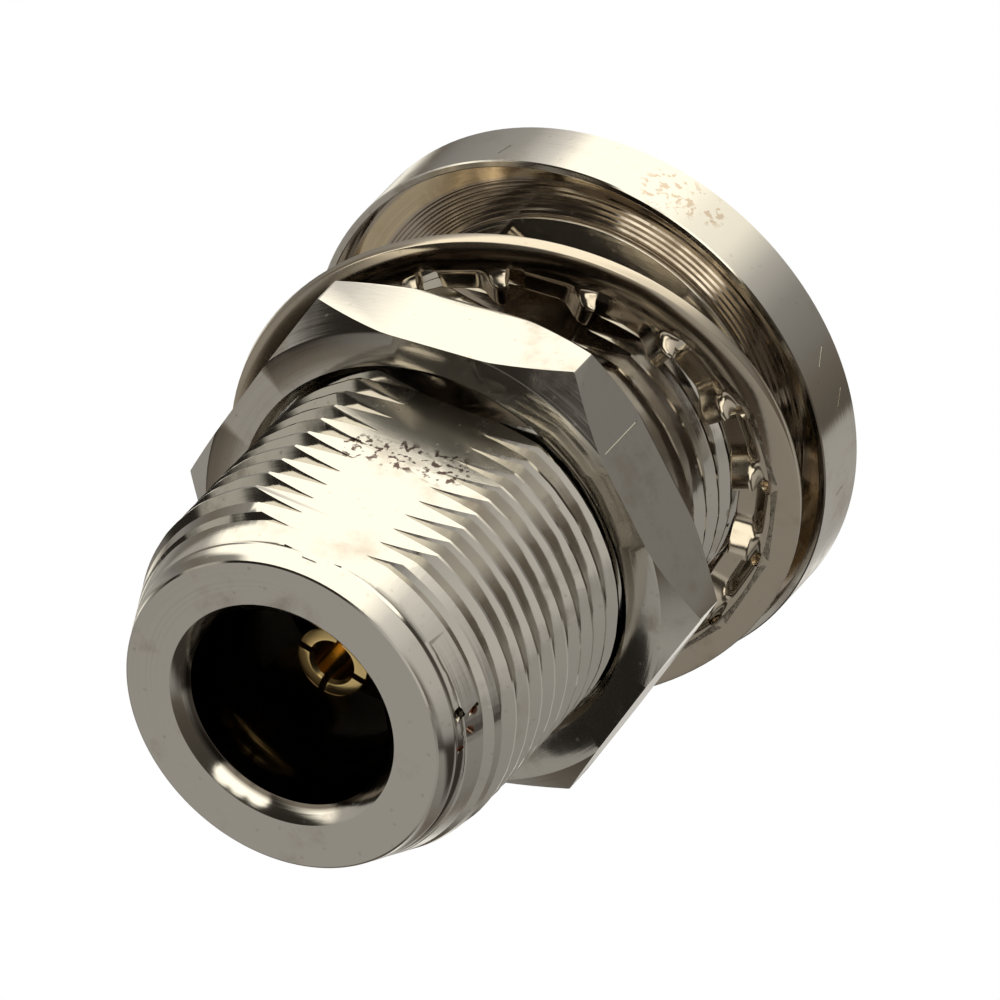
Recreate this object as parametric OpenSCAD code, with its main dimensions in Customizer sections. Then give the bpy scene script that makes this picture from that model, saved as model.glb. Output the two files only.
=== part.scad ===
// N type panel connector with its hex nut and internal-tooth lock washer.
// It stands on its mating face: origin at the centre of that face, +Z along the
// axis toward the flange and the solder cup, +X through the thread's milled flat.
// All sizes are in millimetres.

/* [Thread and nose] */
// major diameter of the 5/8-24 coupling thread
thread_diameter = 15.875; // [14:0.005:18]
// length from the mating face to the front of the flange's lip
thread_length = 23.7; // [20:0.1:30]
// outer diameter of the flat mating face
face_diameter = 13.28; // [12.6:0.02:13.6]
// depth of the small edge chamfer round the mating face
edge_chamfer = 0.7; // [0.3:0.05:1]
// where the nose cone reaches the full thread diameter
cone_end = 3.5; // [2.5:0.1:5]
// distance from the axis to the flat milled along the thread
flat_distance = 6.92; // [6.7:0.01:7.6]
// how far behind the mating face the milled flat ends
flat_end = 24; // [18:0.1:24.4]

/* [Socket] */
// diameter of the socket at its mouth
mouth_diameter = 9.5; // [8.9:0.05:10.5]
// depth of the mouth's tapered lead-in
mouth_lead = 0.6; // [0.3:0.05:1.2]
// inside diameter of the socket behind the lead-in
socket_diameter = 8.4; // [8.3:0.02:8.8]
// depth from the mating face to the reference plane
reference_depth = 9.1; // [8.5:0.05:10]
// inside diameter of the outer conductor at the reference plane
line_diameter = 7; // [6.6:0.05:7.4]

/* [Flange] */
// outer diameter of the flange
flange_diameter = 22.2; // [20:0.1:26]
// thickness of the flange from its lip to its back face
flange_thickness = 3; // [2.6:0.1:5]
// radial width of the lip round the gasket recess
lip_width = 0.3; // [0.2:0.05:0.9]
// depth of the gasket recess
recess_depth = 1.3; // [0.8:0.1:1.8]
// small chamfer on the flange's back edge
flange_chamfer = 0.3; // [0.1:0.05:0.6]

/* [Rear hub] */
// diameter of the hub behind the flange
hub_diameter = 12; // [11:0.1:14]
// length of the hub behind the flange
hub_length = 1.8; // [1.2:0.1:4]

/* [Hex nut] */
// size of the nut across its flats
nut_across_flats = 19.05; // [18:0.05:21]
// thickness of the nut
nut_thickness = 3.4; // [2.6:0.1:5]
// where the nut's front face stands on the thread
nut_front = 12.3; // [6:0.1:16.5]
// turning of the nut's first corner from the milled flat
nut_turn = 23.5; // [0:0.5:60]
// diameter where the corner chamfers start
nut_chamfer_diameter = 19.5; // [19.1:0.1:20.5]
// angle of the corner chamfers to the nut's faces
nut_chamfer_angle = 38.7; // [20:0.1:45]
// depth of the countersink at both ends of the nut's bore
nut_countersink = 0.35; // [0.1:0.05:0.6]

/* [Lock washer] */
// outer diameter of the lock washer
washer_diameter = 22.4; // [21.5:0.1:25]
// thickness of the lock washer's sheet
washer_thickness = 0.55; // [0.4:0.05:0.8]
// radial width of the plain rim outside the notches
washer_rim = 1.25; // [1:0.05:1.8]
// gap between the tips of the teeth and the thread's crests
tooth_tip_gap = 0.6625; // [0.4:0.0025:1]
// number of internal teeth
tooth_count = 17; // [12:1:20]
// how far each tooth is twisted about its own length
tooth_twist = 22; // [0:1:28]
// diameter of the round notch at each tooth's root
notch_diameter = 0.7; // [0.6:0.05:1.2]
// width of the slit between two teeth
slit_width = 0.5; // [0.3:0.05:0.9]
// lean of the washer on the thread
washer_tilt = 16.6; // [0:0.1:17]
// direction of the washer's high side from the milled flat
washer_tilt_turn = 104.4; // [0:0.1:360]
// turning of the first notch from the washer's high side
notch_turn = -3.4; // [-20:0.1:20]

/* [Centre contact] */
// outside diameter of the contact's socket end
contact_diameter = 3; // [2.8:0.02:3.2]
// depth of the contact's tip behind the mating face
tip_depth = 4.08; // [3.8:0.02:5]
// bore of the contact's socket end
pin_hole_diameter = 1.7; // [1.6:0.02:1.8]
// diameter of the lead-in at the contact's tip
pin_lead_diameter = 2.1; // [1.8:0.05:2.4]
// depth of the contact's bore
pin_hole_depth = 5.2; // [4:0.1:6.5]
// number of slots in the contact's socket end
slot_count = 4; // [2:1:6]
// width of each slot
slot_width = 0.28; // [0.2:0.02:0.5]
// length of each slot
slot_length = 4.4; // [3:0.1:5]
// turning of the first slot from the milled flat
slot_turn = 12; // [0:1:90]
// diameter of the shoulder that holds the contact
shoulder_diameter = 4.6; // [4:0.1:5.4]
// thickness of the shoulder
shoulder_thickness = 1.2; // [0.8:0.1:2]
// length of the solder cup behind the hub
cup_length = 5; // [3:0.1:7]
// inside diameter of the solder cup
cup_bore_diameter = 2.2; // [1.8:0.05:2.4]
// depth of the solder cup
cup_depth = 4; // [2.5:0.1:4.5]

/* [Insulators and ring] */
// outside diameter of the front insulator
front_insulator_diameter = 7.8; // [7.5:0.1:8.4]
// where the front insulator starts behind the reference plane
front_insulator_step = 1.5; // [1:0.1:2.5]
// outside diameter of the rear insulator and the ring
rear_insulator_diameter = 9.4; // [8.8:0.1:10]
// distance from the mating face to the joint between the insulators
insulator_joint = 18; // [16:0.1:20]
// thickness of the retaining ring
ring_thickness = 0.9; // [0.6:0.1:1.4]
// inside diameter of the retaining ring
ring_bore_diameter = 6.6; // [5.5:0.1:7.6]
// how far the ring lies below the hub's end
ring_recess = 0.25; // [0.1:0.05:0.5]

/* [Hidden] */
$fn = 96;
eps = 0.01;
nickel = [0.64, 0.61, 0.56];
dark_nickel = [0.55, 0.51, 0.46];
gold = [0.86, 0.64, 0.3];
ptfe = [0.93, 0.92, 0.89];

// clearances named once
nut_clearance = 0.04;
washer_clearance = 0.11;

thread_radius = thread_diameter / 2;
lip_front = thread_length;
flange_back = lip_front + flange_thickness;
recess_floor = lip_front + recess_depth;
hub_end = flange_back + hub_length;
nose_edge_radius = face_diameter / 2 + 0.37 * edge_chamfer;
insulator_front = reference_depth + front_insulator_step;
ring_end = hub_end - ring_recess;
ring_front = ring_end - ring_thickness;
contact_end = hub_end + cup_length;

tooth_pitch = 360 / tooth_count;
tooth_tip = thread_radius + tooth_tip_gap;
rim_radius = washer_diameter / 2 - washer_rim;
notch_centre = rim_radius - notch_diameter / 2 + 0.12;

// the washer lies on the nut's back face at its low side, on its rim or on the
// teeth that are twisted toward the nut, whichever reaches lower
nut_back = nut_front + nut_thickness;
tooth_root_width = 2 * rim_radius * sin(tooth_pitch / 2) - slit_width;
tooth_tip_width = 2 * tooth_tip * sin(tooth_pitch / 2) - slit_width;
tooth_drop = tooth_root_width / 2 * sin(tooth_twist) + washer_thickness / 2 * cos(tooth_twist);
rim_rest = nut_chamfer_diameter / 2 * tan(washer_tilt) + washer_thickness / 2 / cos(washer_tilt);
tooth_rest = nut_across_flats / 2 * sin(washer_tilt) + tooth_drop * cos(washer_tilt);
washer_centre = nut_back + max(rim_rest, tooth_rest) + washer_clearance;

// which sub-part to draw

// one plain disc between two heights
module disc(r, z0, z1) {
    translate([0, 0, z0])
        cylinder(r = r, h = z1 - z0);
}

// one cone between two heights
module cone(r0, r1, z0, z1) {
    translate([0, 0, z0])
        cylinder(r1 = r0, r2 = r1, h = z1 - z0);
}

// turned outside of the shell from the nose to the hub
module shell_outside() {
    rotate_extrude()
        polygon([
            [0, 0],
            [face_diameter / 2, 0],
            [nose_edge_radius, edge_chamfer],
            [thread_radius, cone_end],
            [thread_radius, recess_floor],
            [flange_diameter / 2 - lip_width, recess_floor],
            [flange_diameter / 2 - lip_width, lip_front],
            [flange_diameter / 2, lip_front],
            [flange_diameter / 2, flange_back - flange_chamfer],
            [flange_diameter / 2 - flange_chamfer, flange_back],
            [hub_diameter / 2, flange_back],
            [hub_diameter / 2, hub_end - 0.3],
            [hub_diameter / 2 - 0.3, hub_end],
            [0, hub_end]
        ]);
}

// stepped bore through the shell
module shell_bores() {
    cone(mouth_diameter / 2 + 0.02, socket_diameter / 2, -0.02, mouth_lead);
    disc(socket_diameter / 2, mouth_lead - eps, reference_depth);
    disc(line_diameter / 2, reference_depth - eps, insulator_front + eps);
    disc(front_insulator_diameter / 2, insulator_front, insulator_joint + eps);
    disc(rear_insulator_diameter / 2, insulator_joint, hub_end + 1);
}

// D-shaped flat milled along the thread
module thread_flat() {
    translate([flat_distance, -thread_radius, -1])
        cube([thread_radius, thread_diameter, flat_end + 1]);
}

module shell() {
    color(nickel)
    difference() {
        shell_outside();
        shell_bores();
        thread_flat();
    }
}

// hexagonal bar cut to the nut's outline by two cones
module nut_blank() {
    corner = nut_across_flats / 2 / cos(30);
    rise = tan(nut_chamfer_angle);
    start = nut_chamfer_diameter / 2;
    reach = (corner + 1 - start) * rise;
    intersection() {
        rotate([0, 0, nut_turn])
            translate([0, 0, nut_front])
                cylinder(r = corner, h = nut_thickness, $fn = 6);
        rotate_extrude()
            polygon([
                [0, nut_front],
                [start, nut_front],
                [corner + 1, nut_front + reach],
                [corner + 1, nut_back - reach],
                [start, nut_back],
                [0, nut_back]
            ]);
    }
}

module hex_nut() {
    bore = thread_radius + nut_clearance;
    color(nickel)
    difference() {
        nut_blank();
        disc(bore, nut_front - 1, nut_back + 1);
        cone(bore + nut_countersink + 0.1, bore, nut_front - 0.1, nut_front + nut_countersink);
        cone(bore, bore + nut_countersink + 0.1, nut_back - nut_countersink, nut_back + 0.1);
    }
}

// one tooth of the washer, twisted about its own length
module tooth() {
    rotate([-tooth_twist, 0, 0])
        translate([0, 0, -washer_thickness / 2])
            linear_extrude(height = washer_thickness)
                polygon([
                    [tooth_tip, -tooth_tip_width / 2],
                    [notch_centre, -tooth_root_width / 2],
                    [notch_centre, tooth_root_width / 2],
                    [tooth_tip, tooth_tip_width / 2]
                ]);
}

// narrow untwisted stem that joins a tooth to the rim
module tooth_stem() {
    width = 2 * notch_centre * sin(tooth_pitch / 2) - notch_diameter;
    translate([notch_centre - 0.5, -width / 2, -washer_thickness / 2])
        cube([rim_radius + 0.3 - notch_centre + 0.5, width, washer_thickness]);
}

module washer_flat() {
    difference() {
        disc(washer_diameter / 2, -washer_thickness / 2, washer_thickness / 2);
        disc(rim_radius, -washer_thickness, washer_thickness);
    }
    for (i = [0 : tooth_count - 1])
        rotate([0, 0, notch_turn + (i + 0.5) * tooth_pitch]) {
            tooth();
            tooth_stem();
        }
}

module lock_washer() {
    color(dark_nickel)
    translate([0, 0, washer_centre])
        rotate([0, 0, washer_tilt_turn])
            rotate([0, -washer_tilt, 0])
                washer_flat();
}

// turned outside of the contact from its tip to its solder cup
module contact_outside() {
    r = contact_diameter / 2;
    rotate_extrude()
        polygon([
            [0, tip_depth],
            [r - 0.22, tip_depth],
            [r, tip_depth + 0.3],
            [r, insulator_joint],
            [shoulder_diameter / 2, insulator_joint],
            [shoulder_diameter / 2, insulator_joint + shoulder_thickness],
            [r, insulator_joint + shoulder_thickness],
            [r, contact_end - 0.15],
            [r - 0.15, contact_end],
            [0, contact_end]
        ]);
}

module contact_slots() {
    for (i = [0 : slot_count - 1])
        rotate([0, 0, slot_turn + i * 360 / slot_count])
            translate([0, -slot_width / 2, tip_depth - 1])
                cube([contact_diameter, slot_width, slot_length + 1]);
}

module center_contact() {
    color(gold)
    difference() {
        contact_outside();
        disc(pin_hole_diameter / 2, tip_depth - 1, tip_depth + pin_hole_depth);
        cone(pin_lead_diameter / 2 + 0.1, pin_hole_diameter / 2, tip_depth - 0.1,
            tip_depth + (pin_lead_diameter - pin_hole_diameter) / 2);
        contact_slots();
        disc(cup_bore_diameter / 2, contact_end - cup_depth, contact_end + 1);
        // side window cut away above the solder cup
        translate([0, -contact_diameter, contact_end - cup_depth + 1.2])
            cube([contact_diameter, contact_diameter * 2, cup_depth]);
    }
}

module front_insulator() {
    color(ptfe)
    difference() {
        disc(front_insulator_diameter / 2, insulator_front, insulator_joint);
        disc(contact_diameter / 2, insulator_front - 1, insulator_joint + 1);
    }
}

module rear_insulator() {
    color(ptfe)
    difference() {
        disc(rear_insulator_diameter / 2, insulator_joint, ring_front);
        disc(shoulder_diameter / 2, insulator_joint - 1, insulator_joint + shoulder_thickness);
        disc(contact_diameter / 2, insulator_joint, ring_front + 1);
    }
}

module retaining_ring() {
    color(nickel)
    difference() {
        disc(rear_insulator_diameter / 2, ring_front, ring_end);
        disc(ring_bore_diameter / 2, ring_front - 1, ring_end + 1);
    }
}

shell();
hex_nut();
lock_washer();
center_contact();
front_insulator();
rear_insulator();
retaining_ring();
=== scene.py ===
import bpy
import bmesh
import math
from math import radians, sin, cos, pi
from mathutils import Vector, Matrix, noise


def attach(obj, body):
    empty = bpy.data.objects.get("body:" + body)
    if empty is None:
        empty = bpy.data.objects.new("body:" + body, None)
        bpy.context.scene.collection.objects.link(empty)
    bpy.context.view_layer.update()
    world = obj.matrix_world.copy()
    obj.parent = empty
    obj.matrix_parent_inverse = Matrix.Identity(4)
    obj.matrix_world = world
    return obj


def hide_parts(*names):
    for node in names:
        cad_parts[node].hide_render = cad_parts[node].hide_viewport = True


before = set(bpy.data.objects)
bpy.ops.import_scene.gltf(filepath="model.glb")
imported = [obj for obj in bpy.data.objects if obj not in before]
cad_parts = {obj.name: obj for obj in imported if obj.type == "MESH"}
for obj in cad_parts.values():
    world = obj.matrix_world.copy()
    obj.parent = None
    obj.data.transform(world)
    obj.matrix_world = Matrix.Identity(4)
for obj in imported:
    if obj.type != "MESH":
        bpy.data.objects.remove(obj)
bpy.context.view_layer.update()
mm = 0.001
print("frame loaded")

# camera: it looks up into the socket, a little to one side of the milled flat
flatTurn = radians(28.3)
outward = Vector((cos(flatTurn), sin(flatTurn), 0))
sideways = Vector((-sin(flatTurn), cos(flatTurn), 0))
upAxis = Vector((0, 0, 1))
cameraSetup = {"lens": 720.0, "distance": 754.7, "right": 8.287, "up": 8.158}


def makeCamera():
    back = outward * 0.6667 - upAxis * 0.7453
    right = outward * 0.5133 + sideways * 0.7249 + upAxis * 0.4593
    up = back.cross(right)
    data = bpy.data.cameras.new("camera")
    data.lens = cameraSetup["lens"]
    data.clip_start = 0.05
    data.clip_end = 20
    cam = bpy.data.objects.new("camera", data)
    bpy.context.scene.collection.objects.link(cam)
    place = right * cameraSetup["right"] + up * cameraSetup["up"] + back * cameraSetup["distance"]
    turn = Matrix((right, up, back)).transposed().to_4x4()
    cam.matrix_world = Matrix.Translation(place * mm) @ turn
    bpy.context.scene.camera = cam


makeCamera()
print("camera set")


# small helpers for meshes, all in millimetres until they are finished
def objectFrom(bm, name):
    mesh = bpy.data.meshes.new(name)
    bm.to_mesh(mesh)
    bm.free()
    obj = bpy.data.objects.new(name, mesh)
    bpy.context.scene.collection.objects.link(obj)
    return obj


def revolve(profile, steps, closed=True):
    # turns a profile of (radius, height) points about Z
    bm = bmesh.new()
    points = [bm.verts.new((r, 0, z)) for r, z in profile]
    edges = [bm.edges.new(pair) for pair in zip(points, points[1:])]
    if closed:
        edges.append(bm.edges.new((points[-1], points[0])))
    bmesh.ops.spin(bm, geom=points + edges, cent=(0, 0, 0), axis=(0, 0, 1),
                   angle=2 * pi, steps=steps, use_merge=True)
    bmesh.ops.remove_doubles(bm, verts=bm.verts, dist=1e-5)
    flat = [f for f in bm.faces if f.calc_area() < 1e-10]
    bmesh.ops.delete(bm, geom=flat, context="FACES_ONLY")
    bmesh.ops.recalc_face_normals(bm, faces=bm.faces)
    return bm


def roundEdges(bm, width, angle=25, segments=2):
    sharp = [e for e in bm.edges if len(e.link_faces) == 2 and e.calc_face_angle(0) > radians(angle)]
    bmesh.ops.bevel(bm, geom=sharp, offset=width, offset_type="OFFSET", affect="EDGES",
                    segments=segments, profile=0.5, material=-1, clamp_overlap=True)


def cut(obj, tool, how):
    # joins, cuts or intersects two closed meshes and keeps the result in obj
    mod = obj.modifiers.new("cut", "BOOLEAN")
    mod.operation = how
    mod.solver = "EXACT"
    mod.object = tool
    bpy.context.view_layer.update()
    made = bpy.data.meshes.new_from_object(obj.evaluated_get(bpy.context.evaluated_depsgraph_get()))
    obj.modifiers.clear()
    old = obj.data
    obj.data = made
    bpy.data.meshes.remove(old)
    bpy.data.objects.remove(tool)
    return obj


def finishPiece(obj, body, node, material, smooth=30, scaleDown=True):
    if scaleDown:
        obj.data.transform(Matrix.Scale(mm, 4))
    obj.data.materials.clear()
    obj.data.materials.append(material)
    for poly in obj.data.polygons:
        poly.use_smooth = True
        poly.material_index = 0
    obj.data.set_sharp_from_angle(angle=radians(smooth))
    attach(obj, body)
    if node:
        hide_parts(node)
    return obj


def joinInto(obj, bm):
    whole = bmesh.new()
    whole.from_mesh(obj.data)
    spare = bpy.data.meshes.new("spare")
    bm.to_mesh(spare)
    bm.free()
    whole.from_mesh(spare)
    bpy.data.meshes.remove(spare)
    whole.to_mesh(obj.data)
    whole.free()


# shader helpers
def addNode(tree, kind, **values):
    made = tree.nodes.new(kind)
    for key, value in values.items():
        setattr(made, key, value)
    return made


def linkUp(tree, source, target):
    tree.links.new(source, target)


def rampStops(ramp, stops, mode="LINEAR"):
    ramp.color_ramp.interpolation = mode
    elements = ramp.color_ramp.elements
    while len(elements) > 1:
        elements.remove(elements[-1])
    elements[0].position = stops[0][0]
    elements[0].color = (*stops[0][1], 1)
    for place, colour in stops[1:]:
        made = elements.new(place)
        made.color = (*colour, 1)


def makeWearGroup():
    # stains, fine scratches and pits shared by every plated finish
    group = bpy.data.node_groups.new("platingWear", "ShaderNodeTree")
    face = group.interface
    for name, kind, value in (("Base", "NodeSocketColor", (0.6, 0.57, 0.52, 1)),
                              ("Stain", "NodeSocketColor", (0.2, 0.13, 0.07, 1)),
                              ("Stain Amount", "NodeSocketFloat", 0.35),
                              ("Roughness", "NodeSocketFloat", 0.18),
                              ("Scratch Depth", "NodeSocketFloat", 0.3)):
        socket = face.new_socket(name=name, in_out="INPUT", socket_type=kind)
        socket.default_value = value
    face.new_socket(name="Color", in_out="OUTPUT", socket_type="NodeSocketColor")
    face.new_socket(name="Roughness", in_out="OUTPUT", socket_type="NodeSocketFloat")
    face.new_socket(name="Height", in_out="OUTPUT", socket_type="NodeSocketFloat")
    inner = addNode(group, "NodeGroupInput")
    outer = addNode(group, "NodeGroupOutput")
    place = addNode(group, "ShaderNodeTexCoord")
    blot = addNode(group, "ShaderNodeTexNoise")
    blot.inputs["Scale"].default_value = 330
    blot.inputs["Detail"].default_value = 6
    blot.inputs["Roughness"].default_value = 0.62
    linkUp(group, place.outputs["Object"], blot.inputs["Vector"])
    blotRange = addNode(group, "ShaderNodeMapRange", interpolation_type="SMOOTHSTEP")
    blotRange.inputs["From Min"].default_value = 0.52
    blotRange.inputs["From Max"].default_value = 0.74
    linkUp(group, blot.outputs["Fac"], blotRange.inputs["Value"])
    speck = addNode(group, "ShaderNodeTexVoronoi")
    speck.inputs["Scale"].default_value = 1500
    linkUp(group, place.outputs["Object"], speck.inputs["Vector"])
    speckRange = addNode(group, "ShaderNodeMapRange")
    speckRange.inputs["From Min"].default_value = 0.16
    speckRange.inputs["From Max"].default_value = 0.06
    linkUp(group, speck.outputs["Distance"], speckRange.inputs["Value"])
    speckKeep = addNode(group, "ShaderNodeMath", operation="MULTIPLY")
    linkUp(group, speckRange.outputs["Result"], speckKeep.inputs[0])
    linkUp(group, blot.outputs["Fac"], speckKeep.inputs[1])
    both = addNode(group, "ShaderNodeMath", operation="MAXIMUM")
    linkUp(group, blotRange.outputs["Result"], both.inputs[0])
    linkUp(group, speckKeep.outputs["Value"], both.inputs[1])
    amount = addNode(group, "ShaderNodeMath", operation="MULTIPLY")
    linkUp(group, both.outputs["Value"], amount.inputs[0])
    linkUp(group, inner.outputs["Stain Amount"], amount.inputs[1])
    tint = addNode(group, "ShaderNodeMix", data_type="RGBA")
    linkUp(group, amount.outputs["Value"], tint.inputs["Factor"])
    linkUp(group, inner.outputs["Base"], tint.inputs["A"])
    linkUp(group, inner.outputs["Stain"], tint.inputs["B"])
    linkUp(group, tint.outputs["Result"], outer.inputs["Color"])
    rough = addNode(group, "ShaderNodeMath", operation="MULTIPLY_ADD")
    linkUp(group, both.outputs["Value"], rough.inputs[0])
    rough.inputs[1].default_value = 0.16
    linkUp(group, inner.outputs["Roughness"], rough.inputs[2])
    linkUp(group, rough.outputs["Value"], outer.inputs["Roughness"])
    stretch = addNode(group, "ShaderNodeMapping")
    stretch.inputs["Scale"].default_value = (1, 1, 9)
    stretch.inputs["Rotation"].default_value = (0.3, 0.2, 0)
    linkUp(group, place.outputs["Object"], stretch.inputs["Vector"])
    fine = addNode(group, "ShaderNodeTexNoise")
    fine.inputs["Scale"].default_value = 900
    fine.inputs["Detail"].default_value = 3
    linkUp(group, stretch.outputs["Vector"], fine.inputs["Vector"])
    depth = addNode(group, "ShaderNodeMath", operation="MULTIPLY")
    linkUp(group, fine.outputs["Fac"], depth.inputs[0])
    linkUp(group, inner.outputs["Scratch Depth"], depth.inputs[1])
    pit = addNode(group, "ShaderNodeMath", operation="SUBTRACT")
    linkUp(group, depth.outputs["Value"], pit.inputs[0])
    linkUp(group, amount.outputs["Value"], pit.inputs[1])
    linkUp(group, pit.outputs["Value"], outer.inputs["Height"])
    return group


def makeTurningGroup():
    # fine concentric marks that the lathe leaves, as a height over the radius
    group = bpy.data.node_groups.new("turningMarks", "ShaderNodeTree")
    face = group.interface
    for name, value in (("Rings", 9000.0), ("Depth", 0.5)):
        face.new_socket(name=name, in_out="INPUT", socket_type="NodeSocketFloat").default_value = value
    face.new_socket(name="Height", in_out="OUTPUT", socket_type="NodeSocketFloat")
    inner = addNode(group, "NodeGroupInput")
    outer = addNode(group, "NodeGroupOutput")
    place = addNode(group, "ShaderNodeTexCoord")
    parts = addNode(group, "ShaderNodeSeparateXYZ")
    linkUp(group, place.outputs["Object"], parts.inputs["Vector"])
    flat = addNode(group, "ShaderNodeCombineXYZ")
    linkUp(group, parts.outputs["X"], flat.inputs["X"])
    linkUp(group, parts.outputs["Y"], flat.inputs["Y"])
    radius = addNode(group, "ShaderNodeVectorMath", operation="LENGTH")
    linkUp(group, flat.outputs["Vector"], radius.inputs[0])
    line = addNode(group, "ShaderNodeCombineXYZ")
    linkUp(group, radius.outputs["Value"], line.inputs["X"])
    linkUp(group, parts.outputs["Z"], line.inputs["Y"])
    grooves = addNode(group, "ShaderNodeTexNoise")
    grooves.inputs["Detail"].default_value = 2
    linkUp(group, inner.outputs["Rings"], grooves.inputs["Scale"])
    linkUp(group, line.outputs["Vector"], grooves.inputs["Vector"])
    depth = addNode(group, "ShaderNodeMath", operation="MULTIPLY")
    linkUp(group, grooves.outputs["Fac"], depth.inputs[0])
    linkUp(group, inner.outputs["Depth"], depth.inputs[1])
    linkUp(group, depth.outputs["Value"], outer.inputs["Height"])
    return group


def makeZoneGroup():
    # masks for parts of the shell, by radius and height: painted shade in the socket, the recess and the milled flat
    # behind the nut, a painted glint at the recess floor's edge, and extra roughness on the open flat
    group = bpy.data.node_groups.new("shellZones", "ShaderNodeTree")
    inner = addNode(group, "NodeGroupInput")
    outer = addNode(group, "NodeGroupOutput")
    place = addNode(group, "ShaderNodeTexCoord")
    parts = addNode(group, "ShaderNodeSeparateXYZ")
    linkUp(group, place.outputs["Object"], parts.inputs["Vector"])
    flat = addNode(group, "ShaderNodeCombineXYZ")
    linkUp(group, parts.outputs["X"], flat.inputs["X"])
    linkUp(group, parts.outputs["Y"], flat.inputs["Y"])
    radius = addNode(group, "ShaderNodeVectorMath", operation="LENGTH")
    linkUp(group, flat.outputs["Vector"], radius.inputs[0])

    def within(source, low, high, soft):
        up = addNode(group, "ShaderNodeMapRange")
        up.inputs["From Min"].default_value = (low - soft) * mm
        up.inputs["From Max"].default_value = low * mm
        down = addNode(group, "ShaderNodeMapRange")
        down.inputs["From Min"].default_value = (high + soft) * mm
        down.inputs["From Max"].default_value = high * mm
        both = addNode(group, "ShaderNodeMath", operation="MULTIPLY")
        for i, limit in enumerate((up, down)):
            linkUp(group, source, limit.inputs["Value"])
            linkUp(group, limit.outputs["Result"], both.inputs[i])
        return both.outputs["Value"]

    for name, radii, heights in (("Socket", (-1, 4.5), (0.5, 19)), ("Recess", (8.12, 10.78), (23.85, 25.2)),
                                 ("Floor Edge", (9.75, 10.5), (24.9, 25.2)), ("Flat", (6.9, 8.2), (8.4, 12.6)), ("Hidden Flat", (6.9, 8.2), (14.6, 22))):
        group.interface.new_socket(name=name, in_out="OUTPUT", socket_type="NodeSocketFloat")
        both = addNode(group, "ShaderNodeMath", operation="MULTIPLY")
        linkUp(group, within(radius.outputs["Value"], *radii, 0.1), both.inputs[0])
        linkUp(group, within(parts.outputs["Z"], *heights, 0.15), both.inputs[1])
        if "Flat" in name:
            milled = addNode(group, "ShaderNodeMath", operation="MULTIPLY")
            linkUp(group, both.outputs["Value"], milled.inputs[0])
            linkUp(group, within(parts.outputs["X"], 6.88, 6.96, 0.02), milled.inputs[1])
            both = milled
        linkUp(group, both.outputs["Value"], outer.inputs[name])
    return group


wearGroup = makeWearGroup()
turningGroup = makeTurningGroup()
zoneGroup = makeZoneGroup()


def platedMetal(name, base, stain, amount, rough, scratch, rings, ringDepth, bump=0.25):
    made = bpy.data.materials.new(name)
    made.use_nodes = True
    tree = made.node_tree
    shader = tree.nodes["Principled BSDF"]
    shader.inputs["Metallic"].default_value = 1
    wear = addNode(tree, "ShaderNodeGroup", node_tree=wearGroup)
    wear.inputs["Base"].default_value = (*base, 1)
    wear.inputs["Stain"].default_value = (*stain, 1)
    wear.inputs["Stain Amount"].default_value = amount
    wear.inputs["Roughness"].default_value = rough
    wear.inputs["Scratch Depth"].default_value = scratch
    turning = addNode(tree, "ShaderNodeGroup", node_tree=turningGroup)
    turning.inputs["Rings"].default_value = rings
    turning.inputs["Depth"].default_value = ringDepth
    height = addNode(tree, "ShaderNodeMath", operation="ADD")
    linkUp(tree, wear.outputs["Height"], height.inputs[0])
    linkUp(tree, turning.outputs["Height"], height.inputs[1])
    relief = addNode(tree, "ShaderNodeBump")
    relief.inputs["Strength"].default_value = bump
    relief.inputs["Distance"].default_value = 0.00002
    linkUp(tree, height.outputs["Value"], relief.inputs["Height"])
    linkUp(tree, wear.outputs["Color"], shader.inputs["Base Color"])
    linkUp(tree, wear.outputs["Roughness"], shader.inputs["Roughness"])
    linkUp(tree, relief.outputs["Normal"], shader.inputs["Normal"])
    return made


nickel = platedMetal("nickelPlate", (0.66, 0.635, 0.585), (0.24, 0.15, 0.08), 0.3, 0.1, 0.25, 5000, 0.5)
# the lock washer's plate is a darker, browner copy of the nickel: painted shade where it sits between the nut and the
# flange
shadedWasherNickel = platedMetal("shadedWasherPlate", (0.56, 0.5, 0.41), (0.25, 0.17, 0.1), 0.3, 0.14, 0.3, 3000, 0.12, 0.12)
gold = platedMetal("goldPlate", (1.0, 0.76, 0.34), (0.3, 0.12, 0.04), 0.3, 0.16, 0.2, 6000, 0.4)
shellNickel = platedMetal("shellPlate", (0.66, 0.635, 0.585), (0.24, 0.15, 0.08), 0.3, 0.1, 0.25, 5000, 0.5)


nutNickel = platedMetal("nutPlate", (0.66, 0.635, 0.585), (0.24, 0.15, 0.08), 0.3, 0.1, 0.25, 5000, 0.5)


def shadeNutBack(material):
    # painted shade: the back face, which faces the lock washer, and the back edge of the bore are darkened
    tree = material.node_tree
    shader = tree.nodes["Principled BSDF"]
    place = addNode(tree, "ShaderNodeTexCoord")
    parts = addNode(tree, "ShaderNodeSeparateXYZ")
    linkUp(tree, place.outputs["Object"], parts.inputs["Vector"])
    behind = addNode(tree, "ShaderNodeMapRange")
    behind.inputs["From Min"].default_value = 15.6 * mm
    behind.inputs["From Max"].default_value = 15.68 * mm
    behind.inputs["To Max"].default_value = 0.85
    linkUp(tree, parts.outputs["Z"], behind.inputs["Value"])
    mix = addNode(tree, "ShaderNodeMix", data_type="RGBA")
    linkUp(tree, behind.outputs["Result"], mix.inputs["Factor"])
    linkUp(tree, shader.inputs["Base Color"].links[0].from_socket, mix.inputs["A"])
    mix.inputs["B"].default_value = (0.1, 0.065, 0.045, 1)
    linkUp(tree, mix.outputs["Result"], shader.inputs["Base Color"])


shadeNutBack(nutNickel)


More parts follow.
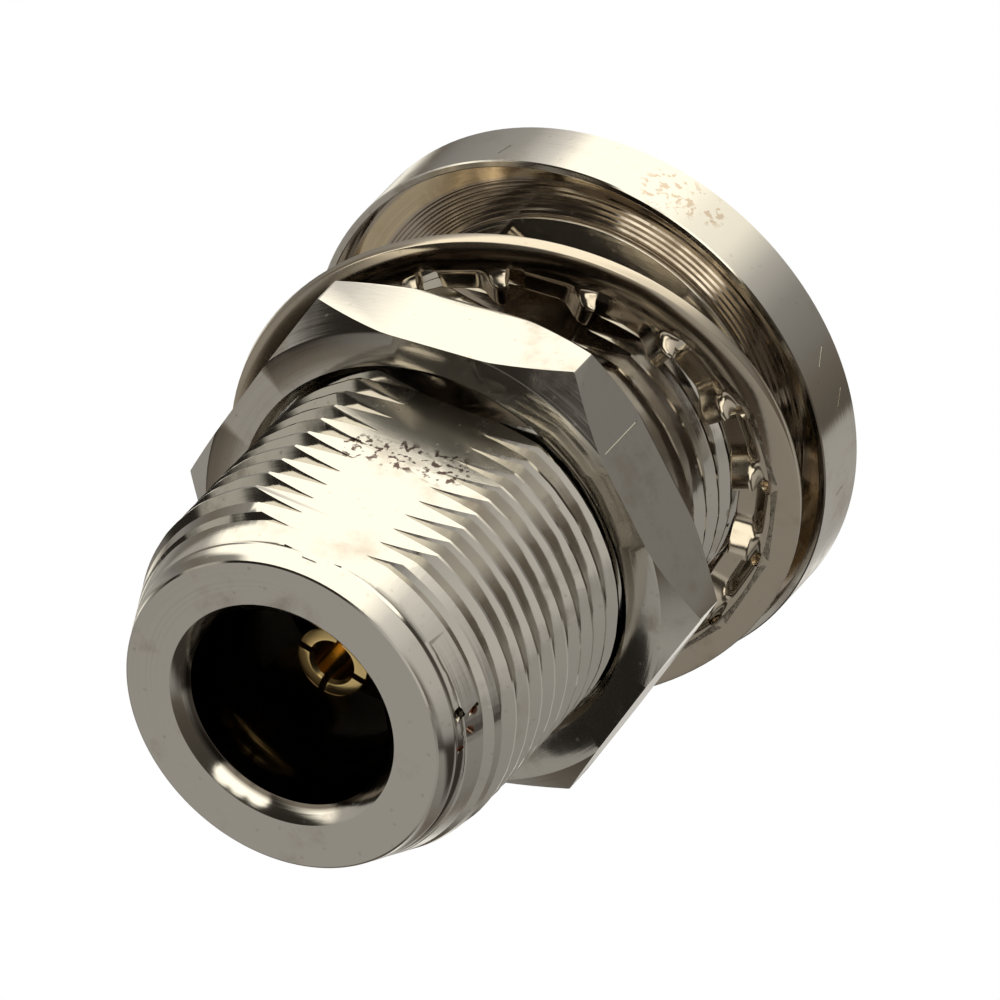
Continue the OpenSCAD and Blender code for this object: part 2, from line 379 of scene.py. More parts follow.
def shadeAndChipShell(material):
    # painted shade darkens the socket, the gasket recess and the milled flat behind the nut, a painted warm glint
    # lights the edge of the recess floor, and chips show the copper under the nickel
    tree = material.node_tree
    shader = tree.nodes["Principled BSDF"]
    zones = addNode(tree, "ShaderNodeGroup", node_tree=zoneGroup)
    last = shader.inputs["Base Color"].links[0].from_socket
    # Socket, Recess and Hidden Flat get painted shade; Floor Edge gets a painted glint
    for name, colour, share in (("Socket", (0.04, 0.028, 0.02), 0.9), ("Recess", (0.46, 0.36, 0.27), 0.5),
                                ("Floor Edge", (0.8, 0.65, 0.42), 0.7), ("Hidden Flat", (0.05, 0.035, 0.025), 0.9)):
        amount = addNode(tree, "ShaderNodeMath", operation="MULTIPLY")
        amount.inputs[1].default_value = share
        linkUp(tree, zones.outputs[name], amount.inputs[0])
        mix = addNode(tree, "ShaderNodeMix", data_type="RGBA")
        linkUp(tree, amount.outputs["Value"], mix.inputs["Factor"])
        linkUp(tree, last, mix.inputs["A"])
        mix.inputs["B"].default_value = (*colour, 1)
        last = mix.outputs["Result"]
    rough = addNode(tree, "ShaderNodeMath", operation="MULTIPLY_ADD")
    linkUp(tree, zones.outputs["Flat"], rough.inputs[0])
    rough.inputs[1].default_value = 0.14
    linkUp(tree, shader.inputs["Roughness"].links[0].from_socket, rough.inputs[2])
    linkUp(tree, rough.outputs["Value"], shader.inputs["Roughness"])
    place = addNode(tree, "ShaderNodeTexCoord")
    grain = addNode(tree, "ShaderNodeTexNoise")
    grain.inputs["Scale"].default_value = 3200
    linkUp(tree, place.outputs["Object"], grain.inputs["Vector"])
    grainRange = addNode(tree, "ShaderNodeMapRange")
    grainRange.inputs["From Min"].default_value = 0.54
    grainRange.inputs["From Max"].default_value = 0.6
    linkUp(tree, grain.outputs["Fac"], grainRange.inputs["Value"])
    for angle, height, radius, size, colour in chips:
        centre = Vector((cos(radians(angle)) * radius, sin(radians(angle)) * radius, height)) * mm
        away = addNode(tree, "ShaderNodeVectorMath", operation="DISTANCE")
        away.inputs[1].default_value = centre
        linkUp(tree, place.outputs["Object"], away.inputs[0])
        near = addNode(tree, "ShaderNodeMapRange")
        near.inputs["From Min"].default_value = size * mm
        near.inputs["From Max"].default_value = size * 0.7 * mm
        linkUp(tree, away.outputs["Value"], near.inputs["Value"])
        amount = near.outputs["Result"]
        if size > 0.5:
            speckled = addNode(tree, "ShaderNodeMath", operation="MULTIPLY")
            linkUp(tree, amount, speckled.inputs[0])
            linkUp(tree, grainRange.outputs["Result"], speckled.inputs[1])
            amount = speckled.outputs["Value"]
        mix = addNode(tree, "ShaderNodeMix", data_type="RGBA")
        linkUp(tree, amount, mix.inputs["Factor"])
        linkUp(tree, last, mix.inputs["A"])
        mix.inputs["B"].default_value = (*colour, 1)
        last = mix.outputs["Result"]
    linkUp(tree, last, shader.inputs["Base Color"])


# angle, height, radius, size, colour
chips = [(71, 1.2, 7.05, 0.26, (0.02, 0.012, 0.01)), (72.5, 1.9, 7.3, 0.2, (0.2, 0.1, 0.06)),
         (78, 1.6, 7.2, 0.2, (0.55, 0.28, 0.17)), (83, 1.1, 7.0, 0.16, (0.5, 0.3, 0.2)),
         (13, 25.0, 11.1, 1.5, (0.5, 0.42, 0.34)), (20, 25.4, 11.1, 1.0, (0.5, 0.42, 0.34)),
         (-2, 8.6, 6.92, 1.2, (0.1, 0.07, 0.06)), (12, 8.9, 7.0, 1.3, (0.1, 0.07, 0.06)),
         (-14, 8.2, 7.1, 1.0, (0.1, 0.07, 0.06))]
shadeAndChipShell(shellNickel)


def makeInsulatorMaterial():
    made = bpy.data.materials.new("whiteFluoropolymer")
    made.use_nodes = True
    tree = made.node_tree
    shader = tree.nodes["Principled BSDF"]
    shader.inputs["Roughness"].default_value = 0.45
    shader.inputs["Subsurface Weight"].default_value = 0.2
    shader.inputs["Subsurface Scale"].default_value = 0.0006
    place = addNode(tree, "ShaderNodeTexCoord")
    cloud = addNode(tree, "ShaderNodeTexNoise")
    cloud.inputs["Scale"].default_value = 700
    linkUp(tree, place.outputs["Object"], cloud.inputs["Vector"])
    tone = addNode(tree, "ShaderNodeValToRGB")
    rampStops(tone, [(0.3, (0.78, 0.76, 0.7)), (0.7, (0.9, 0.89, 0.86))])
    linkUp(tree, cloud.outputs["Fac"], tone.inputs["Fac"])
    linkUp(tree, tone.outputs["Color"], shader.inputs["Base Color"])
    turning = addNode(tree, "ShaderNodeGroup", node_tree=turningGroup)
    turning.inputs["Rings"].default_value = 4000
    turning.inputs["Depth"].default_value = 1
    relief = addNode(tree, "ShaderNodeBump")
    relief.inputs["Strength"].default_value = 0.4
    relief.inputs["Distance"].default_value = 0.00002
    linkUp(tree, turning.outputs["Height"], relief.inputs["Height"])
    linkUp(tree, relief.outputs["Normal"], shader.inputs["Normal"])
    return made


insulatorWhite = makeInsulatorMaterial()
print("finishes made")

# shell: thread, nose, bore, flange and hub
shellSize = {
    "crest": 7.93, "root": 7.12, "pitch": 1.0583, "crestFlat": 0.12, "rootFlat": 0.08,
    "threadEnd": 23.2, "threadStart": 0.0, "wobble": 0.03, "flat": 6.92, "flatEnd": 24.0,
    "face": 6.64, "edge": 0.7, "slope": 0.37, "mouth": 4.745, "lead": 0.6,
    "socket": 4.2, "reference": 9.1, "line": 3.5, "insulator": 3.9, "insulatorFront": 10.6,
    "joint": 18.0, "rear": 4.7, "flange": 11.1, "lip": 23.7, "recess": 25.0, "lipWidth": 0.3,
    "flangeBack": 26.7, "hub": 6.0, "hubEnd": 28.5, "turns": 25, "steps": 144,
    "ringGrooves": [8.35, 8.62, 8.9, 9.2, 9.5],
    # small dents: angle, height, radius, length, width, turn
    "nicks": [(71, 1.2, 7.08, 0.42, 0.5, 20), (72, 1.85, 7.33, 0.6, 0.16, 25), (78, 1.6, 7.24, 0.4, 0.14, -50),
              (83, 1.1, 7.06, 0.3, 0.12, 10), (58, 25.3, 11.16, 0.9, 0.06, 40), (68, 25.6, 11.15, 0.8, 0.05, 48),
              (-24, 24.6, 11.15, 0.7, 0.05, -20), (88, 25.0, 11.16, 0.5, 0.06, 15)],
}


def threadRod(size):
    # one spun chain of grooves, moved on by a pitch for each turn, and closed by two planes
    pitch = size["pitch"]
    half = (pitch - size["crestFlat"] - size["rootFlat"]) / 2
    bm = bmesh.new()
    start = size["threadStart"] - 2 * pitch
    chain = []
    for i in range(size["turns"]):
        z = start + i * pitch
        for r, rise in ((size["root"], 0), (size["root"], size["rootFlat"]),
                        (size["crest"], size["rootFlat"] + half),
                        (size["crest"], size["rootFlat"] + half + size["crestFlat"])):
            chain.append(bm.verts.new((r, 0, z + rise)))
    chain.append(bm.verts.new((size["root"], 0, start + size["turns"] * pitch)))
    edges = [bm.edges.new(pair) for pair in zip(chain, chain[1:])]
    steps = size["steps"]
    bmesh.ops.spin(bm, geom=chain + edges, cent=(0, 0, 0), axis=(0, 0, 1),
                   dvec=(0, 0, pitch / steps), angle=2 * pi, steps=steps, use_merge=False)
    bmesh.ops.remove_doubles(bm, verts=bm.verts, dist=1e-4)
    for v in bm.verts:
        # the crests are a little lumpy where the plating is thick
        v.co.xy *= 1 + size["wobble"] / size["crest"] * (noise.noise(v.co * 1.7) - 0.45)
    for height, way in ((size["threadStart"] - 0.9, 1), (size["threadEnd"], -1)):
        bmesh.ops.bisect_plane(bm, geom=bm.verts[:] + bm.edges[:] + bm.faces[:],
                               plane_co=(0, 0, height), plane_no=(0, 0, way), clear_inner=True)
        rim = [e for e in bm.edges if e.is_boundary and all(abs(v.co.z - height) < 1e-3 for v in e.verts)]
        bmesh.ops.holes_fill(bm, edges=rim, sides=0)
    bmesh.ops.triangulate(bm, faces=bm.faces)
    bmesh.ops.recalc_face_normals(bm, faces=bm.faces)
    return bm


def makeShell():
    s = shellSize
    rod = objectFrom(threadRod(s), "shellPiece")
    neck = revolve([(0, s["threadEnd"] - 0.5), (s["crest"] - 0.02, s["threadEnd"] - 0.25),
                    (s["crest"] - 0.02, s["recess"] + 0.5), (0, s["recess"] + 0.5)], s["steps"], False)
    cut(rod, objectFrom(neck, "neck"), "UNION")
    edgeRadius = s["face"] + s["slope"] * s["edge"]
    rise = (s["crest"] - edgeRadius) / (3.5 - s["edge"])
    envelope = revolve([(0, 0), (s["face"] - 0.05, 0), (s["face"] + 0.03, 0.05), (edgeRadius - 0.05, s["edge"] - 0.04),
                        (edgeRadius + 0.03, s["edge"] + 0.05), (edgeRadius + rise * 0.2, 0.9), (edgeRadius + rise * 0.2 - 0.04, 0.95),
                        (edgeRadius + rise * 0.3 - 0.04, 1.0), (edgeRadius + rise * 0.35, 1.05),
                        (edgeRadius + rise * 2.8, 3.5),
                        (s["crest"] + 0.003, 3.6), (s["crest"] + 0.003, 26), (0, 26)], s["steps"], False)
    whole = envelope.verts[:] + envelope.edges[:] + envelope.faces[:]
    found = bmesh.ops.bisect_plane(envelope, geom=whole, plane_co=(s["flat"], 0, 0), plane_no=(1, 0, 0), clear_outer=True)
    rim = [e for e in found["geom_cut"] if isinstance(e, bmesh.types.BMEdge)]
    bmesh.ops.holes_fill(envelope, edges=rim, sides=0)
    bmesh.ops.triangulate(envelope, faces=envelope.faces)
    bmesh.ops.recalc_face_normals(envelope, faces=envelope.faces)
    cut(rod, objectFrom(envelope, "envelope"), "INTERSECT")
    bore = revolve([(0, -1), (s["mouth"] + 0.06, -1), (s["mouth"] + 0.06, -0.01), (s["mouth"] - 0.01, 0.06),
                    (s["socket"] + 0.02, s["lead"]),
                    (s["socket"], s["lead"] + 0.04), (s["socket"], s["reference"]), (s["line"], s["reference"]),
                    (s["line"], s["insulatorFront"]), (s["insulator"], s["insulatorFront"]),
                    (s["insulator"], s["joint"]), (s["rear"], s["joint"]), (s["rear"], 30), (0, 30)], s["steps"], False)
    cut(rod, objectFrom(bore, "bore"), "DIFFERENCE")
    outer, lipRadius = s["flange"], s["flange"] - s["lipWidth"]
    rings = []
    for i, r in enumerate(s["ringGrooves"]):
        rings += [(r - 0.1, s["recess"]), (r - 0.03, s["recess"] + 0.07), (r + 0.03, s["recess"] + 0.07),
                  (r + 0.1, s["recess"])]
    flange = revolve([(s["rear"], s["recess"] - 0.2), (s["crest"] + 0.05, s["recess"] - 0.2), (s["crest"] + 0.12, s["recess"] - 0.12),
                      (s["crest"] + 0.14, s["recess"]), *rings, (lipRadius - 0.12, s["recess"]),
                      (lipRadius, s["recess"] - 0.12), (lipRadius, s["lip"] + 0.03), (lipRadius + 0.04, s["lip"]),
                      (outer - 0.05, s["lip"]), (outer, s["lip"] + 0.05),
                      (outer, s["flangeBack"] - 0.3), (outer - 0.3, s["flangeBack"]),
                      (s["hub"] + 0.1, s["flangeBack"]), (s["hub"], s["flangeBack"] + 0.1),
                      (s["hub"], s["hubEnd"] - 0.3), (s["hub"] - 0.3, s["hubEnd"]),
                      (s["rear"] + 0.15, s["hubEnd"]), (s["rear"], s["hubEnd"] - 0.15)], 160)
    joinInto(rod, flange)
    nicks = bmesh.new()
    for angle, height, radius, length, width, turn in s["nicks"]:
        place = (Matrix.Rotation(radians(angle), 4, "Z") @ Matrix.Translation((radius, 0, height))
                 @ Matrix.Rotation(radians(turn), 4, "X") @ Matrix.Diagonal((0.2, width, length, 1)))
        bmesh.ops.create_cube(nicks, size=1, matrix=place)
    cut(rod, objectFrom(nicks, "nicks"), "DIFFERENCE")
    return finishPiece(rod, "body", "shell", shellNickel, 32)


makeShell()
print("shell made")

nutSize = {"flats": 19.05, "thick": 3.4, "front": 12.3, "turn": 23.5, "chamfer": 9.75, "angle": 38.7,
           "bore": 7.98, "sink": 0.35, "steps": 120, "scratch": (53.5, -2.2, 14.0, 0)}


def makeNut():
    n = nutSize
    corner = n["flats"] / 2 / cos(pi / 6)
    bm = bmesh.new()
    turn = Matrix.Translation((0, 0, n["front"] + n["thick"] / 2)) @ Matrix.Rotation(radians(n["turn"]), 4, "Z")
    bmesh.ops.create_cone(bm, cap_ends=True, segments=6, radius1=corner, radius2=corner, depth=n["thick"])
    first = min(bm.verts, key=lambda v: abs(math.atan2(v.co.y, v.co.x)))
    bmesh.ops.rotate(bm, verts=bm.verts, matrix=Matrix.Rotation(-math.atan2(first.co.y, first.co.x), 3, "Z"))
    upright = [e for e in bm.edges if abs(e.verts[0].co.z - e.verts[1].co.z) > 1]
    bmesh.ops.bevel(bm, geom=upright, offset=0.06, offset_type="OFFSET", affect="EDGES",
                    segments=2, profile=0.5, material=-1)
    bm.transform(turn)
    bmesh.ops.recalc_face_normals(bm, faces=bm.faces)
    nut = objectFrom(bm, "hexNutPiece")
    back = n["front"] + n["thick"]
    wide = corner + 0.2
    reach = (wide - n["chamfer"]) * math.tan(radians(n["angle"]))
    cones = revolve([(0, n["front"]), (n["chamfer"] - 0.05, n["front"]), (n["chamfer"] + 0.05, n["front"] + 0.03),
                     (wide, n["front"] + reach), (wide, back - reach),
                     (n["chamfer"] + 0.05, back - 0.03), (n["chamfer"] - 0.05, back), (0, back)], n["steps"], False)
    cut(nut, objectFrom(cones, "cones"), "INTERSECT")
    bore = n["bore"]
    hole = revolve([(0, n["front"] - 1), (bore + 1 + n["sink"], n["front"] - 1), (bore, n["front"] + n["sink"]),
                    (bore, back - n["sink"]), (bore + 1 + n["sink"], back + 1), (0, back + 1)], n["steps"], False)
    cut(nut, objectFrom(hole, "hole"), "DIFFERENCE")
    line = bmesh.new()
    angle, along, height, turn = n["scratch"]
    place = (Matrix.Rotation(radians(angle), 4, "Z") @ Matrix.Translation((n["flats"] / 2 + 0.02, along, height))
             @ Matrix.Rotation(radians(turn), 4, "X") @ Matrix.Diagonal((0.1, 0.05, 2.6, 1)))
    bmesh.ops.create_cube(line, size=1, matrix=place)
    cut(nut, objectFrom(line, "line"), "DIFFERENCE")
    return finishPiece(nut, "nut", "hex_nut", nutNickel, 20)


makeNut()
print("nut made")

washerSize = {"outer": 11.19, "thick": 0.55, "rim": 9.95, "tip": 8.61, "teeth": 17, "notch": 0.7,
              "slit": 0.5, "tilt": 16.6, "tiltTurn": 104.4, "notchTurn": -3.4, "centre": 19.342,
              "back": 0.48, "front": 0.56, "curl": (0.52, 0.94)}


def toothHeight(w, t):
    # along a tooth from its back end to its raised end, which curls toward the nut
    low, high = w["curl"]
    share = max(0.0, min(1.0, (t - low) / (high - low)))
    return w["back"] - (w["back"] + w["front"]) * share * share * (3 - 2 * share) - 0.08 * t


def toothBlank(w):
    # one tooth laid along X between two round notches
    pitch = 2 * pi / w["teeth"]
    round_ = w["notch"] / 2
    notchCentre = w["rim"] - round_ + 0.12
    bm = bmesh.new()
    bmesh.ops.create_grid(bm, x_segments=22, y_segments=14, size=0.5)
    for v in bm.verts:
        along, across = v.co.x + 0.5, v.co.y
        r = w["tip"] + along * (w["rim"] + 0.22 - w["tip"])
        gap = max(w["slit"] / 2, math.sqrt(max(0.0, round_ ** 2 - (r - notchCentre) ** 2)))
        if r > notchCentre:
            gap = math.sqrt(max(0.01, round_ ** 2 - (r - notchCentre) ** 2))
        y = 2 * across * (r * sin(pitch / 2) - gap)
        share = max(0.0, min(1.0, (w["rim"] - 0.12 - r) / 0.5))
        v.co = Vector((r, y, toothHeight(w, across + 0.5) * share * share * (3 - 2 * share)))
    half = w["thick"] / 2
    bmesh.ops.recalc_face_normals(bm, faces=bm.faces)
    bmesh.ops.solidify(bm, geom=bm.faces[:], thickness=w["thick"])
    low = min(v.co.z for v in bm.verts if v.co.x > w["rim"] + 0.1)
    bmesh.ops.translate(bm, verts=bm.verts, vec=(0, 0, -low - half))
    bmesh.ops.recalc_face_normals(bm, faces=bm.faces)
    roundEdges(bm, 0.05, 60, 2)
    return bm


def makeWasher():
    w = washerSize
    half = w["thick"] / 2
    bm = revolve([(w["rim"], -half), (w["outer"], -half), (w["outer"], half), (w["rim"], half)], 136)
    roundEdges(bm, 0.05)
    washer = objectFrom(bm, "lockWasherPiece")
    step = 2 * pi / w["teeth"]
    for i in range(w["teeth"]):
        tooth = toothBlank(w)
        tooth.transform(Matrix.Rotation(radians(w["notchTurn"]) + (i + 0.5) * step, 4, "Z"))
        joinInto(washer, tooth)
    lean = (Matrix.Translation((0, 0, w["centre"])) @ Matrix.Rotation(radians(w["tiltTurn"]), 4, "Z")
            @ Matrix.Rotation(-radians(w["tilt"]), 4, "Y"))
    washer.data.transform(lean)
    return finishPiece(washer, "washer", "lock_washer", shadedWasherNickel, 40)


makeWasher()
print("washer made")

contactSize = {"radius": 1.5, "tip": 4.08, "hole": 0.85, "lead": 0.97, "depth": 5.2, "slots": 4, "slot": 0.28,
               "slotLength": 4.4, "slotTurn": 12, "shoulder": 2.3, "joint": 18.0, "shoulderThick": 1.2,
               "end": 33.5, "cup": 1.1, "cupDepth": 4.0, "steps": 72}


def makeContact():
    c = contactSize
    r, tip, end = c["radius"], c["tip"], c["end"]
    body = revolve([(0, tip), (r - 0.1, tip), (r - 0.03, tip + 0.03), (r, tip + 0.1),
                    (r, c["joint"] + 0.01),
                    (c["shoulder"], c["joint"] + 0.01), (c["shoulder"], c["joint"] + c["shoulderThick"] - 0.01),
                    (r, c["joint"] + c["shoulderThick"] - 0.01), (r, end - 0.15), (r - 0.04, end - 0.04),
                    (r - 0.15, end), (0, end)], c["steps"], False)
    contact = objectFrom(body, "contactPiece")
    hole = revolve([(0, tip - 1), (c["lead"], tip - 1), (c["lead"], tip + 0.02), (c["hole"], tip + 0.16),
                    (c["hole"], tip + c["depth"]), (0, tip + c["depth"] + 0.4)], c["steps"], False)
    cut(contact, objectFrom(hole, "hole"), "DIFFERENCE")
    cup = revolve([(0, end - c["cupDepth"]), (c["cup"], end - c["cupDepth"]), (c["cup"], end - 0.06),
                   (c["cup"] + 0.1, end + 0.04), (c["cup"] + 0.1, end + 1), (0, end + 1)], c["steps"], False)
    cut(contact, objectFrom(cup, "cup"), "DIFFERENCE")
    blocks = bmesh.new()
    for i in range(c["slots"]):
        turn = Matrix.Rotation(radians(c["slotTurn"]) + i * 2 * pi / c["slots"], 4, "Z")
        shape = Matrix.Translation((1.5, 0, tip + c["slotLength"] / 2 - 0.5)) @ Matrix.Diagonal((2.2, c["slot"], c["slotLength"] + 1, 1))
        bmesh.ops.create_cube(blocks, size=1, matrix=turn @ shape)
    window = Matrix.Translation((1.6, 0, end - c["cupDepth"] + 1.2 + 3)) @ Matrix.Diagonal((3.2, 6, 6, 1))
    bmesh.ops.create_cube(blocks, size=1, matrix=window)
    cut(contact, objectFrom(blocks, "blocks"), "DIFFERENCE")
    return finishPiece(contact, "body", "center_contact", gold, 30)


makeContact()
print("contact made")

ringSizes = {
    "front_insulator": {"profile": [(1.52, 10.62), (3.88, 10.62), (3.88, 17.99), (1.52, 17.99)], "round": 0.08},
    "rear_insulator": {"profile": [(2.32, 18.01), (4.68, 18.01), (4.68, 27.34), (1.52, 27.34), (1.52, 19.22), (2.32, 19.22)],
                       "round": 0.08},
    "retaining_ring": {"profile": [(3.3, 27.36), (4.68, 27.36), (4.68, 28.24), (3.3, 28.24)], "round": 0.12},
}


def makeInnerPieces():
    for node, values in ringSizes.items():
        bm = revolve(values["profile"], 96)
        roundEdges(bm, values["round"])
        words = node.split("_")
        piece = objectFrom(bm, words[0] + words[1].title() + "Piece")
        ring = node == "retaining_ring"
        finishPiece(piece, "body", node, nickel if ring else insulatorWhite)


makeInnerPieces()
print("inner pieces made")

# stage: a pale floor seen from above only, and a studio dome that lights and mirrors in the metal
highBand = [(-180, 0.6), (-172, 1.0), (-156, 0.24), (-144, 0.5), (-132, 1.1), (-116, 0.156), (-100, 0.28), (-84, 0.35),
            (-68, 0.43), (-52, 0.92), (-42, 1.75), (-2, 1.75), (12, 1.35), (28, 1.25), (44, 0.58), (60, 0.32), (76, 0.25),
            (92, 0.18), (113, 0.11), (117, 0.46), (170, 0.46), (180, 0.6)]
midBand = [(-180, 0.25), (-140, 0.3), (-113, 0.45), (-98, 0.22), (-83, 0.2), (-58, 0.35), (-50, 1.75), (14, 1.75),
           (24, 1.2), (31, 0.55), (48, 0.73), (64, 0.2), (81, 0.13), (97, 0.3), (112, 0.05), (116, 0.31), (144, 0.25),
           (160, 0.18), (180, 0.25)]
sideBand = [(-180, 0.15), (-150, 0.25), (-125, 0.35), (-100, 0.42), (-78, 0.5), (-68, 1.75), (18, 1.75), (34, 0.9),
            (55, 0.62), (80, 0.55), (105, 0.36), (112, 0.05), (124, 0.04), (165, 0.05), (180, 0.15)]
lowBand = [(-180, 0.36), (-150, 0.42), (-141, 0.2), (-128, 0.05), (-100, 0.02), (10, 0.03), (50, 0.06), (90, 0.09),
           (105, 0.12), (118, 0.3), (130, 0.4), (150, 0.36), (180, 0.36)]
bottomBand = [(-180, 0.36), (-140, 0.3), (-110, 0.04), (0, 0.04), (30, 0.5), (70, 0.62), (120, 0.6), (150, 0.4), (180, 0.36)]
# spots: azimuth, elevation, half width, all in degrees, then strength
spots = [(28, -35, 9, 1.9), (12, -33, 9, 1.9), (-6, -30, 9, 1.9), (-86, -37, 9, 0.5)]
warmth = {"bright": (1.0, 0.955, 0.83), "middle": (1.0, 0.96, 0.89), "dark": (1.0, 0.86, 0.7)}


def bandRamp(tree, band):
    # azimuth in degrees to a tint whose strength is carried as a share of 5
    stops = []
    for angle, level in band:
        tone = warmth["bright"] if level > 1 else warmth["middle"] if level > 0.2 else warmth["dark"]
        stops.append(((angle + 180) / 360, [level / 5 * t for t in tone]))
    ramp = addNode(tree, "ShaderNodeValToRGB")
    rampStops(ramp, stops)
    return ramp


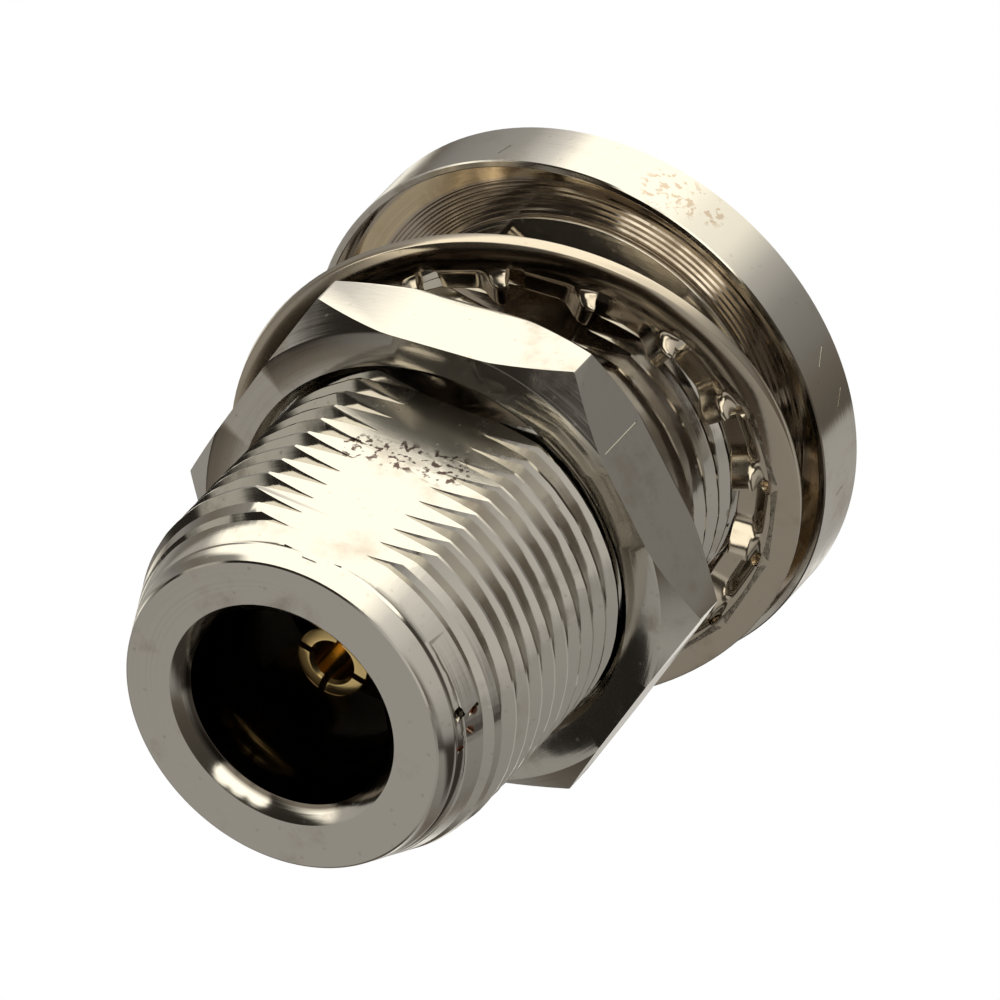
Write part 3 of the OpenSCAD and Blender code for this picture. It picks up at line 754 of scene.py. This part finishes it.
def makeStage():
    bm = bmesh.new()
    bmesh.ops.create_uvsphere(bm, u_segments=48, v_segments=24, radius=0.35)
    bmesh.ops.reverse_faces(bm, faces=bm.faces)
    dome = objectFrom(bm, "studioDome")
    dome.visible_camera = False
    made = bpy.data.materials.new("studioDome")
    made.use_nodes = True
    tree = made.node_tree
    tree.nodes.clear()
    place = addNode(tree, "ShaderNodeTexCoord")
    unit = addNode(tree, "ShaderNodeVectorMath", operation="NORMALIZE")
    linkUp(tree, place.outputs["Object"], unit.inputs[0])
    parts = addNode(tree, "ShaderNodeSeparateXYZ")
    linkUp(tree, unit.outputs["Vector"], parts.inputs["Vector"])
    angle = addNode(tree, "ShaderNodeMath", operation="ARCTAN2")
    linkUp(tree, parts.outputs["Y"], angle.inputs[0])
    linkUp(tree, parts.outputs["X"], angle.inputs[1])
    share = addNode(tree, "ShaderNodeMath", operation="MULTIPLY_ADD")
    share.inputs[1].default_value = 1 / (2 * pi)
    share.inputs[2].default_value = 0.5
    linkUp(tree, angle.outputs["Value"], share.inputs[0])
    ramps = []
    for band in (bottomBand, lowBand, sideBand, midBand, highBand):
        ramp = bandRamp(tree, band)
        linkUp(tree, share.outputs["Value"], ramp.inputs["Fac"])
        ramps.append(ramp)
    last = ramps[0].outputs["Color"]
    for ramp, low, high in ((ramps[1], -0.85, -0.78), (ramps[2], -0.45, -0.28), (ramps[3], 0.1, 0.24),
                            (ramps[4], 0.42, 0.58)):
        blend = addNode(tree, "ShaderNodeMapRange", interpolation_type="SMOOTHSTEP")
        blend.inputs["From Min"].default_value = low
        blend.inputs["From Max"].default_value = high
        linkUp(tree, parts.outputs["Z"], blend.inputs["Value"])
        mix = addNode(tree, "ShaderNodeMix", data_type="RGBA")
        linkUp(tree, blend.outputs["Result"], mix.inputs["Factor"])
        linkUp(tree, last, mix.inputs["A"])
        linkUp(tree, ramp.outputs["Color"], mix.inputs["B"])
        last = mix.outputs["Result"]
    for azimuth, elevation, width, strength in spots:
        a, e = radians(azimuth), radians(elevation)
        near = addNode(tree, "ShaderNodeVectorMath", operation="DOT_PRODUCT")
        near.inputs[1].default_value = (cos(a) * cos(e), sin(a) * cos(e), sin(e))
        linkUp(tree, unit.outputs["Vector"], near.inputs[0])
        share = addNode(tree, "ShaderNodeMapRange", interpolation_type="SMOOTHSTEP")
        share.inputs["From Min"].default_value = cos(radians(width * 1.25))
        share.inputs["From Max"].default_value = cos(radians(width * 0.75))
        linkUp(tree, near.outputs["Value"], share.inputs["Value"])
        mix = addNode(tree, "ShaderNodeMix", data_type="RGBA")
        linkUp(tree, share.outputs["Result"], mix.inputs["Factor"])
        linkUp(tree, last, mix.inputs["A"])
        mix.inputs["B"].default_value = (*[strength / 5 * t for t in warmth["bright"]], 1)
        last = mix.outputs["Result"]
    glow = addNode(tree, "ShaderNodeEmission")
    glow.inputs["Strength"].default_value = 5
    linkUp(tree, last, glow.inputs["Color"])
    out = addNode(tree, "ShaderNodeOutputMaterial")
    linkUp(tree, glow.outputs["Emission"], out.inputs["Surface"])
    dome.data.materials.append(made)
    for poly in dome.data.polygons:
        poly.use_smooth = True
    dome.location = (0, 0, 0.016)

    bm = bmesh.new()
    bmesh.ops.create_circle(bm, cap_ends=True, segments=24, radius=0.0055)
    card = objectFrom(bm, "darkCard")
    card.location = (-0.0222, 0.0015, -0.0105)
    card.rotation_euler = Vector((0.587, 0.316, 0.745)).to_track_quat("Z", "Y").to_euler()
    made = bpy.data.materials.new("darkCard")
    made.use_nodes = True
    made.node_tree.nodes["Principled BSDF"].inputs["Base Color"].default_value = (0.01, 0.008, 0.006, 1)
    made.node_tree.nodes["Principled BSDF"].inputs["Roughness"].default_value = 1
    card.data.materials.append(made)
    for flag in ("visible_camera", "visible_diffuse", "visible_transmission", "visible_shadow"):
        setattr(card, flag, False)

    bm = bmesh.new()
    bmesh.ops.create_grid(bm, x_segments=1, y_segments=1, size=1.5)
    floor = objectFrom(bm, "paleFloor")
    floor.location = (0, 0, -0.0003)
    for flag in ("visible_diffuse", "visible_glossy", "visible_transmission", "visible_shadow"):
        setattr(floor, flag, False)
    made = bpy.data.materials.new("paleFloor")
    made.use_nodes = True
    tree = made.node_tree
    tree.nodes.clear()
    out = addNode(tree, "ShaderNodeOutputMaterial")
    matt = addNode(tree, "ShaderNodeBsdfDiffuse")
    matt.inputs["Color"].default_value = (0.93, 0.93, 0.92, 1)
    clear = addNode(tree, "ShaderNodeBsdfTransparent")
    side = addNode(tree, "ShaderNodeNewGeometry")
    lift = addNode(tree, "ShaderNodeEmission")
    lift.inputs["Color"].default_value = (0.96, 0.98, 1.0, 1)
    lift.inputs["Strength"].default_value = 0.3
    pale = addNode(tree, "ShaderNodeAddShader")
    linkUp(tree, matt.outputs["BSDF"], pale.inputs[0])
    linkUp(tree, lift.outputs["Emission"], pale.inputs[1])
    mix = addNode(tree, "ShaderNodeMixShader")
    linkUp(tree, side.outputs["Backfacing"], mix.inputs["Fac"])
    linkUp(tree, pale.outputs["Shader"], mix.inputs[1])
    linkUp(tree, clear.outputs["BSDF"], mix.inputs[2])
    linkUp(tree, mix.outputs["Shader"], out.inputs["Surface"])
    floor.data.materials.append(made)

    world = bpy.data.worlds.new("studioWorld")
    bpy.context.scene.world = world
    world.use_nodes = True
    tree = world.node_tree
    tree.nodes.clear()
    out = addNode(tree, "ShaderNodeOutputWorld")
    path = addNode(tree, "ShaderNodeLightPath")
    seen = addNode(tree, "ShaderNodeMath", operation="MAXIMUM")
    linkUp(tree, path.outputs["Is Camera Ray"], seen.inputs[0])
    linkUp(tree, path.outputs["Is Glossy Ray"], seen.inputs[1])
    seenToo = addNode(tree, "ShaderNodeMath", operation="MAXIMUM")
    linkUp(tree, seen.outputs["Value"], seenToo.inputs[0])
    linkUp(tree, path.outputs["Is Transmission Ray"], seenToo.inputs[1])
    white = addNode(tree, "ShaderNodeBackground")
    white.inputs["Color"].default_value = (1, 1, 1, 1)
    soft = addNode(tree, "ShaderNodeBackground")
    soft.inputs["Color"].default_value = (0.5, 0.49, 0.47, 1)
    mix = addNode(tree, "ShaderNodeMixShader")
    linkUp(tree, seenToo.outputs["Value"], mix.inputs["Fac"])
    linkUp(tree, soft.outputs["Background"], mix.inputs[1])
    linkUp(tree, white.outputs["Background"], mix.inputs[2])
    linkUp(tree, mix.outputs["Shader"], out.inputs["Surface"])


makeStage()
print("stage made")

bpy.context.scene.view_settings.view_transform = "Standard"
